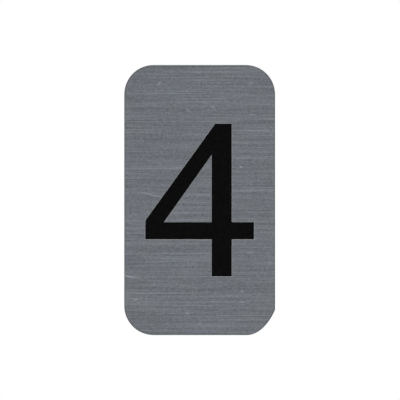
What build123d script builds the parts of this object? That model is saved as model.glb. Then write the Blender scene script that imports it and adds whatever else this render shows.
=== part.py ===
"""Adhesive number plate for a door, a locker or a letter box.

A small brushed-aluminium plate carries the numeral 4, engraved into its face and filled with black
enamel. A layer of double-sided foam tape on the back sticks it to the door.

The plate stands upright, as it does on the door. The origin is the middle of the tape's sticky face,
+X is to the reader's right, +Z is up, and the engraved face looks along -Y. Sizes are in millimetres.
"""

import os

from build123d import *

# Numeral: a stem, a bar and a diagonal, each a straight stroke with square ends
numeral_width = 17.72
numeral_height = 24.9
stem_width = 3.26
bar_height = 2.78
bar_overhang = 3.63  # the bar's free end, to the right of the stem
bar_rise = 6.05  # from the stem's foot to the bar
apex_width = 2.69  # flat top of the numeral, from the stem's right side to the diagonal
heel_rise = 0.28  # the diagonal starts this far above the bar's left end
diagonal_width_heel = 2.62
diagonal_width_apex = 2.46

# Plate: the blank leaves an even margin on both sides of the numeral, and above and below it
side_margin = 3.44
end_margin = 9.59
plate_thickness = 1.5
corner_radius = 4.8
face_rim_radius = 0.15  # soft edge all round the face
back_rim_chamfer = 0.1  # deburred edge all round the back

# Lower right corner: trimmed flatter than the other three, so it meets the right side at an angle
trim_rise = 4.15  # up the right side
trim_run = 4.6  # along the foot
trim_angle = 68  # degrees from the foot, where the trim meets the right side

# Engraving and its enamel
engraving_depth = 0.35
engraving_rim_chamfer = 0.08
enamel_sink = 0.1  # how far the enamel dries below the face

# Adhesive tape
tape_thickness = 0.8
tape_inset = 1.5  # the tape stays this far inside the plate's outline

plate_width = numeral_width + 2 * side_margin
plate_height = numeral_height + 2 * end_margin
plate_right = plate_width / 2
plate_top = plate_height / 2

numeral_right = numeral_width / 2
numeral_top = numeral_height / 2
stem_right = numeral_right - bar_overhang
stem_middle = stem_right - stem_width / 2
bar_foot = bar_rise - numeral_top
bar_middle = bar_foot + bar_height / 2

sticky_plane = Plane.XZ
back_plane = sticky_plane.offset(tape_thickness)
engraving_floor = back_plane.offset(plate_thickness - engraving_depth)

# Numeral outline, on the floor of the engraving
apex = Vector(stem_right - apex_width, numeral_top)
heel = Vector(-numeral_right, bar_foot + bar_height + heel_rise)
across_diagonal = (heel - apex).normalized().rotate(Axis.Z, 90)
inner_heel = heel + across_diagonal * diagonal_width_heel
inner_apex = apex + across_diagonal * diagonal_width_apex
inner_slope = (inner_apex.Y - inner_heel.Y) / (inner_apex.X - inner_heel.X)
inner_end = inner_heel + Vector(1, inner_slope) * (stem_middle - inner_heel.X)

with BuildSketch(engraving_floor) as numeral_outline:
    with Locations((stem_middle, 0)):
        Rectangle(stem_width, numeral_height)
    with Locations((0, bar_middle)):
        Rectangle(numeral_width, bar_height)
    # The diagonal starts at the bar's left end and runs into the stem
    with BuildLine():
        Polyline(
            apex,
            heel,
            (-numeral_right, bar_middle),
            inner_heel,
            inner_end,
            (stem_right, numeral_top),
            close=True,
        )
    make_face()
    # Its upper side cuts the stem's top left corner
    with BuildLine():
        Polyline(apex, heel, (-numeral_right, numeral_top), close=True)
    make_face(mode=Mode.SUBTRACT)

# Plate: the blank, its soft rims, and the engraving with the counter of the 4 left standing
trim_side = (plate_right, trim_rise - plate_top)
trim_foot = (plate_right - trim_run, -plate_top)
trim_start = Vector(1, 0)
trim_end = trim_start.rotate(Axis.Z, trim_angle)

with BuildPart() as plate:
    with BuildSketch(back_plane):
        with BuildLine():
            FilletPolyline(
                trim_foot,
                (-plate_right, -plate_top),
                (-plate_right, plate_top),
                (plate_right, plate_top),
                trim_side,
                radius=corner_radius,
            )
            # Unit tangents keep the trim flat between its ends
            Spline(trim_foot, trim_side, tangents=(trim_start, trim_end), tangent_scalars=(1, 1))
        make_face()
    extrude(amount=plate_thickness)
    chamfer(plate.faces().sort_by(Axis.Y)[-1].edges(), back_rim_chamfer)
    fillet(plate.faces().sort_by(Axis.Y)[0].edges(), face_rim_radius)
    face_outline = plate.faces().sort_by(Axis.Y)[0].outer_wire().edges()
    extrude(numeral_outline.sketch, amount=engraving_depth, mode=Mode.SUBTRACT)
    engraved_face = plate.faces().group_by(Axis.Y)[0]
    chamfer(engraved_face.edges() - face_outline, engraving_rim_chamfer)

# Numeral: the enamel that fills the engraving to a little below the face
with BuildPart() as numeral:
    extrude(numeral_outline.sketch, amount=engraving_depth - enamel_sink)

# Adhesive tape: double-sided foam, die-cut to the plate's plain outline and set back from it
with BuildPart() as adhesive_tape:
    with BuildSketch(sticky_plane):
        RectangleRounded(plate_width, plate_height, corner_radius)
        offset(amount=-tape_inset, mode=Mode.REPLACE)
    extrude(amount=tape_thickness)

plate.part.label = "plate"
numeral.part.label = "numeral"
adhesive_tape.part.label = "adhesive_tape"

os.makedirs("parts", exist_ok=True)
export_step(plate.part, "parts/plate.step")
export_step(numeral.part, "parts/numeral.step")
export_step(adhesive_tape.part, "parts/adhesive_tape.step")
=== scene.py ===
"""Looks of the adhesive number plate: its brushed face, the enamel in its engraving and its foam tape.

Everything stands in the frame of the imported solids: metres, +X to the reader's right, +Z up, and the
engraved face looks along -Y. Marks and patterns are sized in millimetres.
"""

import math

import bmesh
import bpy
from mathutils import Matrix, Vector, noise


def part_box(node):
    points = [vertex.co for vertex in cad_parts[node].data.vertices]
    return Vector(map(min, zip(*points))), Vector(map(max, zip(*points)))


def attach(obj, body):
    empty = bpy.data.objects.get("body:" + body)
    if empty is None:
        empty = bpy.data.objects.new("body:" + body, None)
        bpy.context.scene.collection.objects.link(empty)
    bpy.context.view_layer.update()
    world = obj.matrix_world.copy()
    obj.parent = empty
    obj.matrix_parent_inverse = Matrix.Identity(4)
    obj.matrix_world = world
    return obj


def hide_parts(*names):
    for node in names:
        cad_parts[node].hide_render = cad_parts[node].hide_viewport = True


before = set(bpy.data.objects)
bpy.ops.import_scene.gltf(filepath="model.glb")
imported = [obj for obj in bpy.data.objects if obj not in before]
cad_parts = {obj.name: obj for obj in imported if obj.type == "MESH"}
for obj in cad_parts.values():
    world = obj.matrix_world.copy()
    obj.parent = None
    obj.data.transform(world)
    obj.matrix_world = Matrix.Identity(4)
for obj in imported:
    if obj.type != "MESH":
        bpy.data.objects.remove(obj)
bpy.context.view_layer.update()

MM = 0.001

plate_low, plate_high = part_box("plate")
numeral_low, numeral_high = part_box("numeral")
tape_low, tape_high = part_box("adhesive_tape")
face_y = plate_low.y

# Colours are linear
FACE_GREY = (0.1560, 0.1653, 0.1784)
FACE_BLUE_GREY = (0.1560, 0.1653, 0.1866)
# Scratches: real marks, painted light as a painted glint
SCRATCH_PAINTED_GLINT = (0.62, 0.64, 0.67)
FRESH_METAL = (0.350, 0.365, 0.385)
# Rim: painted shade, darker than the face
RIM_METAL_PAINTED_SHADE = (0.085, 0.090, 0.098)
EDGE_METAL = (0.190, 0.200, 0.215)
BACK_METAL = (0.300, 0.310, 0.330)
ENAMEL_BLACK = (0.0024, 0.0024, 0.0024)
FOAM_WHITE = (0.80, 0.80, 0.77)
ADHESIVE_CREAM = (0.80, 0.785, 0.735)
FLOOR_WHITE = (0.93, 0.93, 0.93)

# Grain of the brushed face: streaks with their length in mm and weight, and flecks with their size in mm
STREAKS = [(15.0, 0.70), (5.0, 0.24)]
STREAK_POWER = 2.3
FLECK_SIZE = (0.28, 5.0, 0.15)
FLECK_WEIGHT = 0.58

# Rows that the streaks lie in: height and drift in mm, and the step through the noise from row to row
ROW_HEIGHT = 0.16
ROW_DRIFT = 0.5
ROW_DRIFT_HEIGHT = 1.3
ROW_STEP_ALONG = 0.37
ROW_STEP_ACROSS = 2.23

# Top and foot of the face, widths in mm: a band of painted shade inside the rim, and a painted highlight that
# makes the rim lighter than at the sides
RIM_WIDTH = 0.15
END_BAND_WIDTH = 0.16
END_BAND_FADE = 0.02
END_BAND_PAINTED_SHADE = 0.71
END_RIM_HIGHLIGHT_FADE = 0.7
END_RIM_PAINTED_HIGHLIGHT = 2.2

# Scratches and specks on the face, painted light as a painted glint: both ends (x, z) in mm, half width in
# mm, strength
SCRATCHES = [
    ((-14.6, -11.87), (-8.9, -12.97), 0.13, 0.40),
    ((-12.0, 1.51), (-8.4, 1.11), 0.13, 0.10),
    ((-10.2, 1.47), (-5.4, 0.24), 0.13, 0.27),
    ((-0.3, 16.10), (2.1, 15.50), 0.12, 0.14),
    ((1.5, 15.70), (2.8, 14.60), 0.14, 0.19),
    ((-2.4, 15.00), (-1.2, 14.10), 0.28, 0.17),
    ((7.7, 13.90), (9.4, 13.92), 0.10, 0.32),
    ((7.3, -8.58), (9.4, -8.50), 0.15, 0.23),
    ((6.4, 5.38), (7.1, 5.38), 0.20, 0.31),
    ((-6.9, 18.80), (-6.2, 19.40), 0.30, 0.27),
    ((7.8, 19.10), (8.9, 19.05), 0.28, 0.18),
    ((9.3, -12.00), (9.6, -12.80), 0.22, 0.18),
    ((-11.2, -16.22), (-9.8, -16.22), 0.16, 0.27),
    ((6.7, -14.60), (7.1, -15.00), 0.22, 0.28),
    ((-7.6, -13.40), (-7.3, -14.00), 0.20, 0.22),
    ((-0.3, -20.40), (0.4, -20.00), 0.22, 0.16),
    ((-2.6, -18.30), (-1.4, -18.65), 0.35, 0.17),
    ((1.6, -16.52), (3.0, -16.52), 0.12, 0.21),
    ((6.3, -16.66), (7.6, -16.66), 0.12, 0.29),
]

# Enamel: steps in from the engraving's wall, each with its width and how far the enamel sinks, in mm
ENAMEL_STEPS = [(0.05, 0.022), (0.10, 0.018)]

# Foam tape: share of the thickness from plate to door, and how far the wall is set back there, in mm
TAPE_WALL = [
    (0.00, 0.04),
    (0.05, 0.00),
    (0.10, 0.03),
    (0.22, 0.06),
    (0.36, 0.08),
    (0.50, 0.09),
    (0.64, 0.08),
    (0.78, 0.06),
    (0.90, 0.03),
    (0.95, 0.00),
    (1.00, 0.04),
]

# Foam tape: outline and mesh, pits in its cut foam and ripple of its sticky face, sizes in mm
TAPE_CORNER = 3.3
TAPE_STEP = 0.2
TAPE_RINGS = 14
PIT_SIZE = 0.32
PIT_DEPTH = 0.22
PIT_THRESHOLD = 0.1
RIPPLE_WIDTH = 1.4
RIPPLE_LENGTH = 3.6
RIPPLE_DEPTH = 0.018
RIPPLE_LEVEL = 0.4
RIPPLE_SLICE = 0.5

# Plate's surfaces: slopes that count as flat and as rim, and reach from the face and the numeral, in mm
FLAT_SLOPE = 0.999
RIM_SLOPE = 0.05
FACE_NEAR = 0.01
NUMERAL_NEAR = 0.5

# Vertices closer than this are one, in mm
WELD = 0.001


# Node helpers

def add_node(tree, kind, inputs=None, **settings):
    """Adds a node with its settings. An input takes a plain value or another node's output."""
    node = tree.nodes.new(kind)
    for name, value in settings.items():
        setattr(node, name, value)
    for socket, value in (inputs or {}).items():
        if isinstance(value, bpy.types.NodeSocket):
            tree.links.new(value, node.inputs[socket])
        else:
            node.inputs[socket].default_value = value
    return node


def new_material(name):
    """A material, its node tree and its Principled shader."""
    material = bpy.data.materials.new(name)
    material.use_nodes = True
    tree = material.node_tree
    return material, tree, tree.nodes["Principled BSDF"]


def math_node(tree, operation, *values):
    """One Math node's output."""
    return add_node(tree, "ShaderNodeMath", dict(enumerate(values)), operation=operation).outputs["Value"]


def ramp(tree, value, low=0.0, high=1.0, first=0.0, last=1.0):
    """A straight ramp from first, where the value is low, to last, where it is high."""
    inputs = {0: value, 1: low, 2: high, 3: first, 4: last}
    return add_node(tree, "ShaderNodeMapRange", inputs).outputs[0]


def millimetres(tree):
    """The piece's own coordinates, in millimetres."""
    place = add_node(tree, "ShaderNodeTexCoord").outputs["Object"]
    scaled = add_node(tree, "ShaderNodeVectorMath", {0: place, "Scale": 1 / MM}, operation="SCALE")
    return scaled.outputs["Vector"]


def height_from_middle(tree, place):
    """How far a point lies above or below the middle of the plate."""
    parts = add_node(tree, "ShaderNodeSeparateXYZ", {"Vector": place})
    return math_node(tree, "ABSOLUTE", parts.outputs["Z"])


def plain_noise(tree, spot, detail=0.0):
    """Noise from 0 to 1 whose marks have a size of 1."""
    inputs = {"Vector": spot, "Scale": 1.0, "Detail": detail}
    return add_node(tree, "ShaderNodeTexNoise", inputs).outputs["Fac"]


def stretched_noise(tree, place, size, detail=0.0):
    """Noise whose marks have that size along X, Y and Z, in millimetres."""
    squeeze = tuple(1 / length for length in size)
    squeezed = add_node(tree, "ShaderNodeVectorMath", {0: place, 1: squeeze}, operation="MULTIPLY")
    return plain_noise(tree, squeezed.outputs["Vector"], detail)


def noise_rows(tree, place, length):
    """Noise in straight rows from side to side, whose marks have that length in millimetres."""
    parts = add_node(tree, "ShaderNodeSeparateXYZ", {"Vector": place})
    only_z = add_node(tree, "ShaderNodeCombineXYZ", {"Z": parts.outputs["Z"]})
    drift = stretched_noise(tree, only_z.outputs["Vector"], (1.0, 1.0, ROW_DRIFT_HEIGHT))
    level = math_node(tree, "MULTIPLY_ADD", drift, ROW_DRIFT, parts.outputs["Z"])
    row = math_node(tree, "FLOOR", math_node(tree, "DIVIDE", level, ROW_HEIGHT))
    along = math_node(tree, "DIVIDE", parts.outputs["X"], length)
    along = math_node(tree, "MULTIPLY_ADD", row, ROW_STEP_ALONG, along)
    across = math_node(tree, "MULTIPLY", row, ROW_STEP_ACROSS)
    spot = add_node(tree, "ShaderNodeCombineXYZ", {"X": along, "Y": across, "Z": length})
    return plain_noise(tree, spot.outputs["Vector"])


def cells(tree, place, size):
    """Round cells of about that size in millimetres: the distance from a cell's middle, and its own tone."""
    pattern = add_node(tree, "ShaderNodeTexVoronoi", {"Vector": place, "Scale": 1 / size})
    tone = add_node(tree, "ShaderNodeSeparateColor", {"Color": pattern.outputs["Color"]})
    return pattern.outputs["Distance"], tone.outputs["Red"]


def weighted_sum(tree, start, layers):
    """start plus each layer's swing about its middle, times its weight."""
    total = start - sum(weight for _, weight in layers) / 2
    for pattern, weight in layers:
        total = math_node(tree, "MULTIPLY_ADD", pattern, weight, total)
    return total


def mix_colours(tree, share, first, second):
    """A colour between two."""
    return add_node(tree, "ShaderNodeMix", {0: share, 6: first, 7: second}, data_type="RGBA").outputs[2]


def opaque(colour):
    """A colour with full alpha."""
    return (*colour, 1.0)


def scaled_colour(tree, colour, factor):
    """A colour made lighter or darker."""
    scaled = add_node(tree, "ShaderNodeVectorMath", {0: colour, "Scale": factor}, operation="SCALE")
    return scaled.outputs["Vector"]


def dress(tree, surface, colour, roughness, height, relief):
    """Links a surface's colour, roughness and relief. A height of 1 stands for that relief in millimetres."""
    tree.links.new(colour, surface.inputs["Base Color"])
    tree.links.new(roughness, surface.inputs["Roughness"])
    bump = add_node(tree, "ShaderNodeBump", {"Height": height, "Distance": relief * MM})
    tree.links.new(bump.outputs["Normal"], surface.inputs["Normal"])


# Materials

def thin_light(tree, pattern):
    """The pattern with its light marks thinner and stronger than its dark ones, and the same middle."""
    raised = math_node(tree, "POWER", pattern, STREAK_POWER)
    slope = STREAK_POWER * 0.5 ** (STREAK_POWER - 1)
    return math_node(tree, "MULTIPLY_ADD", raised, 1 / slope, 0.5 - 0.5 / STREAK_POWER)


def brushed_grain(tree, place):
    """Brightness of the brushing, about 1: streaks from side to side, and fine flecks."""
    layers = [(stretched_noise(tree, place, FLECK_SIZE), FLECK_WEIGHT)]
    for length, weight in STREAKS:
        streaks = noise_rows(tree, place, length)
        layers.append((thin_light(tree, streaks), weight))
    return weighted_sum(tree, 1.0, layers)


def painted_shade_bands(tree, place):
    """Painted shade on the narrow bands along the top and the foot, just inside the rim."""
    start = plate_high.z / MM - RIM_WIDTH - END_BAND_WIDTH
    height = height_from_middle(tree, place)
    return ramp(tree, height, start - END_BAND_FADE, start + END_BAND_FADE, 1.0, END_BAND_PAINTED_SHADE)


def scratch_mask(tree, place):
    """Needle-shaped marks that fade at both ends and to both sides."""
    total = 0.0
    for (start_x, start_z), (end_x, end_z), half_width, strength in SCRATCHES:
        run_x = end_x - start_x
        run_z = end_z - start_z
        middle = ((start_x + end_x) / 2, face_y / MM, (start_z + end_z) / 2)
        turn = (0.0, -math.atan2(run_z, run_x), 0.0)
        reach = (math.hypot(run_x, run_z) / 2, 1.0, half_width)
        inputs = {"Vector": place, "Location": middle, "Rotation": turn, "Scale": reach}
        local = add_node(tree, "ShaderNodeMapping", inputs, vector_type="TEXTURE").outputs["Vector"]
        needle = add_node(tree, "ShaderNodeTexGradient", {"Vector": local}, gradient_type="SPHERICAL")
        total = math_node(tree, "MULTIPLY_ADD", needle.outputs["Fac"], strength, total)
    return math_node(tree, "MINIMUM", total, 1.0)


def brushed_face():
    """Satin aluminium, brushed from side to side, with a few scratches painted light as a painted glint, and
    painted shade along the top and the foot.
    """
    material, tree, surface = new_material("brushed_face")
    place = millimetres(tree)
    grain = brushed_grain(tree, place)
    hue = ramp(tree, stretched_noise(tree, place, (4.0, 5.0, 3.0), detail=1.0), low=0.35, high=0.65)
    tint = mix_colours(tree, hue, opaque(FACE_GREY), opaque(FACE_BLUE_GREY))
    # The grain is darkened by the painted shade of the bands at the top and the foot
    shade = math_node(tree, "MULTIPLY", grain, painted_shade_bands(tree, place))
    scratches = scratch_mask(tree, place)
    # Scratches mixed towards a light colour: a painted glint on real scratches
    colour = mix_colours(tree, scratches, scaled_colour(tree, tint, shade), opaque(SCRATCH_PAINTED_GLINT))
    dull = ramp(tree, grain, low=0.5, high=1.5, first=0.50, last=0.34)
    dull = math_node(tree, "MULTIPLY_ADD", scratches, -0.12, dull)
    height = math_node(tree, "SUBTRACT", grain, scratches)
    dress(tree, surface, colour, dull, height, relief=0.004)
    surface.inputs["Metallic"].default_value = 1.0
    surface.inputs["Anisotropic"].default_value = 0.5
    surface.inputs["Anisotropic Rotation"].default_value = 0.25
    return material


def soft_rim():
    """The rounded rim of the face: duller than the face, painted darker as painted shade, and painted lighter
    at the top and the foot as a painted highlight.
    """
    material, tree, surface = new_material("soft_rim")
    place = millimetres(tree)
    patches = stretched_noise(tree, place, (1.4, 1.4, 1.4), detail=2.0)
    nicks = stretched_noise(tree, place, (0.25, 0.25, 0.25), detail=1.0)
    grain = weighted_sum(tree, 1.0, [(patches, 0.5), (nicks, 0.5)])
    top = plate_high.z / MM
    # Painted highlight: the rim is painted lighter towards the top and the foot
    painted_highlight = ramp(tree, height_from_middle(tree, place), top - END_RIM_HIGHLIGHT_FADE, top, 1.0, END_RIM_PAINTED_HIGHLIGHT)
    colour = scaled_colour(tree, RIM_METAL_PAINTED_SHADE, math_node(tree, "MULTIPLY", grain, painted_highlight))
    dress(tree, surface, colour, ramp(tree, patches, first=0.65, last=0.45), nicks, relief=0.01)
    surface.inputs["Metallic"].default_value = 1.0
    return material


def cut_edge():
    """The blanked edge: dull metal with fine lines across the sheet."""
    material, tree, surface = new_material("cut_edge")
    place = millimetres(tree)
    lines = stretched_noise(tree, place, (0.16, 4.0, 0.16), detail=1.0)
    patches = stretched_noise(tree, place, (1.6, 1.0, 1.6), detail=2.0)
    grain = weighted_sum(tree, 1.0, [(lines, 0.5), (patches, 0.35)])
    colour = scaled_colour(tree, EDGE_METAL, grain)
    dress(tree, surface, colour, ramp(tree, grain, 0.5, 1.5, first=0.58, last=0.38), lines, relief=0.012)
    surface.inputs["Metallic"].default_value = 1.0
    return material


def engraved_cut():
    """The chamfer and walls of the engraving: fresh, brighter metal with tool marks."""
    material, tree, surface = new_material("engraved_cut")
    place = millimetres(tree)
    marks = stretched_noise(tree, place, (0.22, 0.05, 0.22), detail=1.0)
    grain = weighted_sum(tree, 1.0, [(marks, 0.4)])
    colour = scaled_colour(tree, FRESH_METAL, grain)
    dress(tree, surface, colour, ramp(tree, marks, first=0.25, last=0.45), marks, relief=0.006)
    surface.inputs["Metallic"].default_value = 1.0
    return material


def mill_back():
    """The sheet's plain back, with the straight marks of the rolling mill."""
    material, tree, surface = new_material("mill_back")
    place = millimetres(tree)
    roll = stretched_noise(tree, place, (0.5, 5.0, 24.0), detail=2.0)
    cloud = stretched_noise(tree, place, (5.0, 5.0, 7.0), detail=2.0)
    grain = weighted_sum(tree, 1.0, [(roll, 0.35), (cloud, 0.2)])
    colour = scaled_colour(tree, BACK_METAL, grain)
    dress(tree, surface, colour, ramp(tree, cloud, first=0.28, last=0.48), roll, relief=0.004)
    surface.inputs["Metallic"].default_value = 1.0
    return material


def black_enamel():
    """Matte black enamel with a faint orange peel."""
    material, tree, surface = new_material("black_enamel")
    place = millimetres(tree)
    peel = stretched_noise(tree, place, (0.55, 0.55, 0.55), detail=2.0)
    flecks = stretched_noise(tree, place, (0.5, 0.5, 0.3), detail=1.0)
    grain = weighted_sum(tree, 1.0, [(flecks, 1.9)])
    colour = scaled_colour(tree, ENAMEL_BLACK, grain)
    dress(tree, surface, colour, ramp(tree, peel, first=0.50, last=0.75), peel, relief=0.02)
    surface.inputs["Specular IOR Level"].default_value = 0.025
    return material


def foam_wall():
    """Closed-cell foam on the tape's cut side: cells that the knife opened are painted darker than their
    walls, as painted shade.
    """
    material, tree, surface = new_material("foam_wall")
    place = millimetres(tree)
    depth, tone = cells(tree, place, size=0.22)
    cloud = stretched_noise(tree, place, (1.5, 1.5, 1.5), detail=2.0)
    # The middles of the cells are painted darker: painted shade in the opened cells
    grain = weighted_sum(tree, 1.0, [(depth, 0.35), (tone, 0.12), (cloud, 0.15)])
    colour = scaled_colour(tree, FOAM_WHITE, grain)
    dress(tree, surface, colour, ramp(tree, cloud, first=0.80, last=0.95), depth, relief=0.05)
    return material


def sticky_face():
    """Clear adhesive over foam: the foam's cells show through it, and it has a soft ripple."""
    material, tree, surface = new_material("sticky_face")
    place = millimetres(tree)
    depth, tone = cells(tree, place, size=0.30)
    ripple = stretched_noise(tree, place, (1.1, 1.1, 3.2), detail=2.0)
    cloud = stretched_noise(tree, place, (4.0, 4.0, 6.0), detail=3.0)
    grain = weighted_sum(tree, 1.0, [(depth, -0.20), (tone, 0.08), (ripple, 0.05), (cloud, 0.07)])
    colour = scaled_colour(tree, ADHESIVE_CREAM, grain)
    height = weighted_sum(tree, 0.0, [(ripple, 1.0), (depth, -0.4)])
    dress(tree, surface, colour, ramp(tree, ripple, first=0.18, last=0.45), height, relief=0.05)
    return material


# Pieces

def node_mesh(node):
    """A copy of a CAD node's mesh, without its materials."""
    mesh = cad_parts[node].data.copy()
    mesh.materials.clear()
    return mesh


def new_piece(name, mesh, materials, node):
    """A piece that stands for a CAD node: it joins the root body with its own materials, and the node is
    hidden.
    """
    piece = bpy.data.objects.new(name, mesh)
    bpy.context.scene.collection.objects.link(piece)
    for material in materials:
        mesh.materials.append(material)
    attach(piece, "root")
    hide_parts(node)
    return piece


# Plate's surfaces, in the order of its materials
FACE, RIM, EDGE, ENGRAVING, BACK = range(5)


def in_numeral(spot):
    """Whether a point lies within the box of the engraved numeral, with a little room round it."""
    room = NUMERAL_NEAR * MM
    across = numeral_low.x - room < spot.x < numeral_high.x + room
    return across and numeral_low.z - room < spot.z < numeral_high.z + room


def plate_surface(polygon):
    """Which of the plate's surfaces a polygon belongs to."""
    facing = polygon.normal.y
    if facing > FLAT_SLOPE:
        return BACK
    if facing < -FLAT_SLOPE and polygon.center.y < face_y + FACE_NEAR * MM:
        return FACE
    if in_numeral(polygon.center):
        return ENGRAVING
    return RIM if facing < -RIM_SLOPE else EDGE


def make_plate():
    """The blank with its soft rims and the engraving, with a finish for each kind of surface."""
    mesh = node_mesh("plate")
    materials = [brushed_face(), soft_rim(), cut_edge(), engraved_cut(), mill_back()]
    new_piece("brushed_plate", mesh, materials, "plate")
    for polygon in mesh.polygons:
        polygon.material_index = plate_surface(polygon)


def make_numeral():
    """The enamel: it clings to the walls of the engraving and sinks a little in between."""
    mesh = node_mesh("numeral")
    shape = bmesh.new()
    shape.from_mesh(mesh)
    bmesh.ops.remove_doubles(shape, verts=shape.verts, dist=WELD * MM)
    front = [face for face in shape.faces if face.normal.y < -FLAT_SLOPE]
    for width, sink in ENAMEL_STEPS:
        step = {"thickness": width * MM, "depth": -sink * MM}
        bmesh.ops.inset_region(shape, faces=front, use_even_offset=True, **step)
    shape.to_mesh(mesh)
    shape.free()
    new_piece("enamel_numeral", mesh, [black_enamel()], "numeral")


def rounded_outline(half_width, half_height, radius, step):
    """Points round a rounded rectangle, with their outward directions, anticlockwise from the right side."""
    points = []
    corners = [(1, 1), (-1, 1), (-1, -1), (1, -1)]
    centres = [Vector((x * (half_width - radius), z * (half_height - radius))) for x, z in corners]
    arc_steps = round(radius * math.pi / 2 / step)
    for index, centre in enumerate(centres):
        for arc_index in range(arc_steps + 1):
            angle = (index + arc_index / arc_steps) * math.pi / 2
            outward = Vector((math.cos(angle), math.sin(angle)))
            points.append((centre + outward * radius, outward))
        straight = centres[(index + 1) % 4] - centre
        straight_steps = round(straight.length / step)
        corner_end, outward = points[-1]
        for straight_index in range(1, straight_steps):
            points.append((corner_end + straight * (straight_index / straight_steps), outward))
    return points


def foam_pit(spot, share):
    """How deep the cut foam is pitted at a spot, in millimetres: deepest half way through the tape."""
    cell = noise.noise(spot / (PIT_SIZE * MM))
    foam = 4 * share * (1 - share)
    return max(0.0, cell - PIT_THRESHOLD) * PIT_DEPTH * foam ** 2


def wall_row(shape, outline, share, set_back):
    """One row of vertices round the tape's wall."""
    y = tape_low.y + share * (tape_high.y - tape_low.y)
    row = []
    for point, outward in outline:
        depth = set_back + foam_pit(Vector((point.x, y, point.y)), share)
        inner = point - outward * (depth * MM)
        row.append(shape.verts.new((inner.x, y, inner.y)))
    return row


def face_rows(shape, edge_row, ripple_depth):
    """Rows that close one of the tape's faces, from its edge to the line along its middle."""
    line_end = tape_high.z - tape_high.x
    rows = []
    for ring in range(1, TAPE_RINGS + 1):
        row = []
        for vertex in edge_row:
            middle = Vector((0.0, vertex.co.y, max(-line_end, min(line_end, vertex.co.z))))
            spot = vertex.co.lerp(middle, ring / TAPE_RINGS)
            wave_spot = Vector((spot.x / RIPPLE_WIDTH, RIPPLE_SLICE * MM, spot.z / RIPPLE_LENGTH))
            wave = noise.noise(wave_spot / MM)
            spot.y -= max(0.0, RIPPLE_LEVEL + wave) * ripple_depth * MM
            row.append(shape.verts.new(spot))
        rows.append(row)
    return rows


def join_rows(shape, rows, material_index):
    """Faces between each closed row of vertices and the next."""
    for first, second in zip(rows, rows[1:]):
        for index in range(len(first)):
            face = shape.faces.new((first[index - 1], first[index], second[index], second[index - 1]))
            face.smooth = True
            face.material_index = material_index


def make_tape():
    """Double-sided foam tape: cut foam between two faces of adhesive."""
    outline = rounded_outline(tape_high.x, tape_high.z, TAPE_CORNER * MM, TAPE_STEP * MM)
    shape = bmesh.new()
    wall = [wall_row(shape, outline, share, set_back) for share, set_back in TAPE_WALL]
    front = face_rows(shape, wall[0], ripple_depth=0.0)
    back = face_rows(shape, wall[-1], ripple_depth=RIPPLE_DEPTH)
    join_rows(shape, wall, material_index=0)
    join_rows(shape, front[::-1] + wall[:1], material_index=1)
    join_rows(shape, wall[-1:] + back, material_index=1)
    bmesh.ops.remove_doubles(shape, verts=shape.verts, dist=WELD * MM)
    bmesh.ops.recalc_face_normals(shape, faces=shape.faces)
    mesh = bpy.data.meshes.new("foam_tape")
    shape.to_mesh(mesh)
    shape.free()
    piece = new_piece("foam_tape", mesh, [foam_wall(), sticky_face()], "adhesive_tape")


# Studio

def white_world(ambient):
    """A white surround for what the camera and reflections see, and a softer one for the light it gives."""
    world = bpy.data.worlds.new("studio")
    bpy.context.scene.world = world
    world.use_nodes = True
    tree = world.node_tree
    tree.nodes.clear()
    path = add_node(tree, "ShaderNodeLightPath")
    seen = math_node(tree, "MAXIMUM", path.outputs["Is Camera Ray"], path.outputs["Is Glossy Ray"])
    seen = math_node(tree, "MAXIMUM", seen, path.outputs["Is Transmission Ray"])
    strength = ramp(tree, seen, first=ambient, last=1.0)
    shade = add_node(tree, "ShaderNodeBackground", {"Color": (1, 1, 1, 1), "Strength": strength})
    add_node(tree, "ShaderNodeOutputWorld", {"Surface": shade.outputs["Background"]})


def soft_lamp(name, place, size, power):
    """A square lamp that looks at the middle of the plate."""
    light = bpy.data.lights.new(name, "AREA")
    light.shape = "SQUARE"
    light.size = size
    light.energy = power
    lamp = bpy.data.objects.new(name, light)
    bpy.context.scene.collection.objects.link(lamp)
    lamp.location = place
    lamp.rotation_euler = (-Vector(place)).to_track_quat("-Z", "Y").to_euler()


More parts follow.
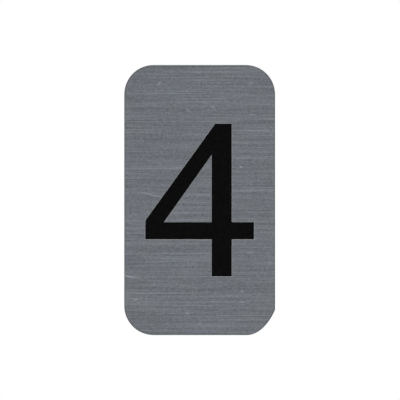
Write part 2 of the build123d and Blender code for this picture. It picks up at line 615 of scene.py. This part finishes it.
def floor_white(radius):
    """Pale matte paint that fades out towards that radius and doesn't show from below."""
    material, tree, surface = new_material("floor_white")
    surface.inputs["Base Color"].default_value = opaque(FLOOR_WHITE)
    surface.inputs["Roughness"].default_value = 0.8
    place = add_node(tree, "ShaderNodeTexCoord").outputs["Object"]
    spread = add_node(tree, "ShaderNodeVectorMath", {0: place, "Scale": 1 / radius}, operation="SCALE")
    inputs = {"Vector": spread.outputs["Vector"]}
    fade = add_node(tree, "ShaderNodeTexGradient", inputs, gradient_type="SPHERICAL").outputs["Fac"]
    below = add_node(tree, "ShaderNodeNewGeometry").outputs["Backfacing"]
    shown = ramp(tree, below, first=ramp(tree, fade, high=0.6), last=0.0)
    tree.links.new(shown, surface.inputs["Alpha"])
    return material


def pale_floor(height, radius):
    """A round pale floor under the plate that fades out to the white surround."""
    shape = bmesh.new()
    bmesh.ops.create_circle(shape, cap_ends=True, segments=96, radius=radius)
    mesh = bpy.data.meshes.new("floor")
    shape.to_mesh(mesh)
    shape.free()
    mesh.materials.append(floor_white(radius))
    floor = bpy.data.objects.new("floor", mesh)
    bpy.context.scene.collection.objects.link(floor)
    floor.location.z = height


def photo_camera(lens, sensor, frame_width, aim_x, aim_z):
    """A long lens straight in front of the face, as far away as the photograph's framing needs."""
    camera_data = bpy.data.cameras.new("camera")
    camera_data.lens = lens
    camera_data.sensor_width = sensor
    camera_data.clip_start = 0.01
    camera_data.clip_end = 10
    camera = bpy.data.objects.new("camera", camera_data)
    bpy.context.scene.collection.objects.link(camera)
    camera.location = (aim_x, face_y - frame_width * lens / sensor, aim_z)
    camera.rotation_euler = (math.radians(90), 0, 0)
    bpy.context.scene.camera = camera


make_plate()
make_numeral()
make_tape()

bpy.context.scene.view_settings.view_transform = "Standard"
white_world(ambient=0.7)
soft_lamp("key", place=(0.45, -0.4, 0.8), size=0.45, power=3.0)
soft_lamp("fill", place=(-0.6, -0.45, 0.1), size=0.45, power=0.8)
soft_lamp("rear", place=(-0.35, 0.65, 0.5), size=0.45, power=2.0)
pale_floor(height=-70 * MM, radius=0.2)
photo_camera(lens=100, sensor=36, frame_width=65.204 * MM, aim_x=0.055 * MM, aim_z=0.006 * MM)
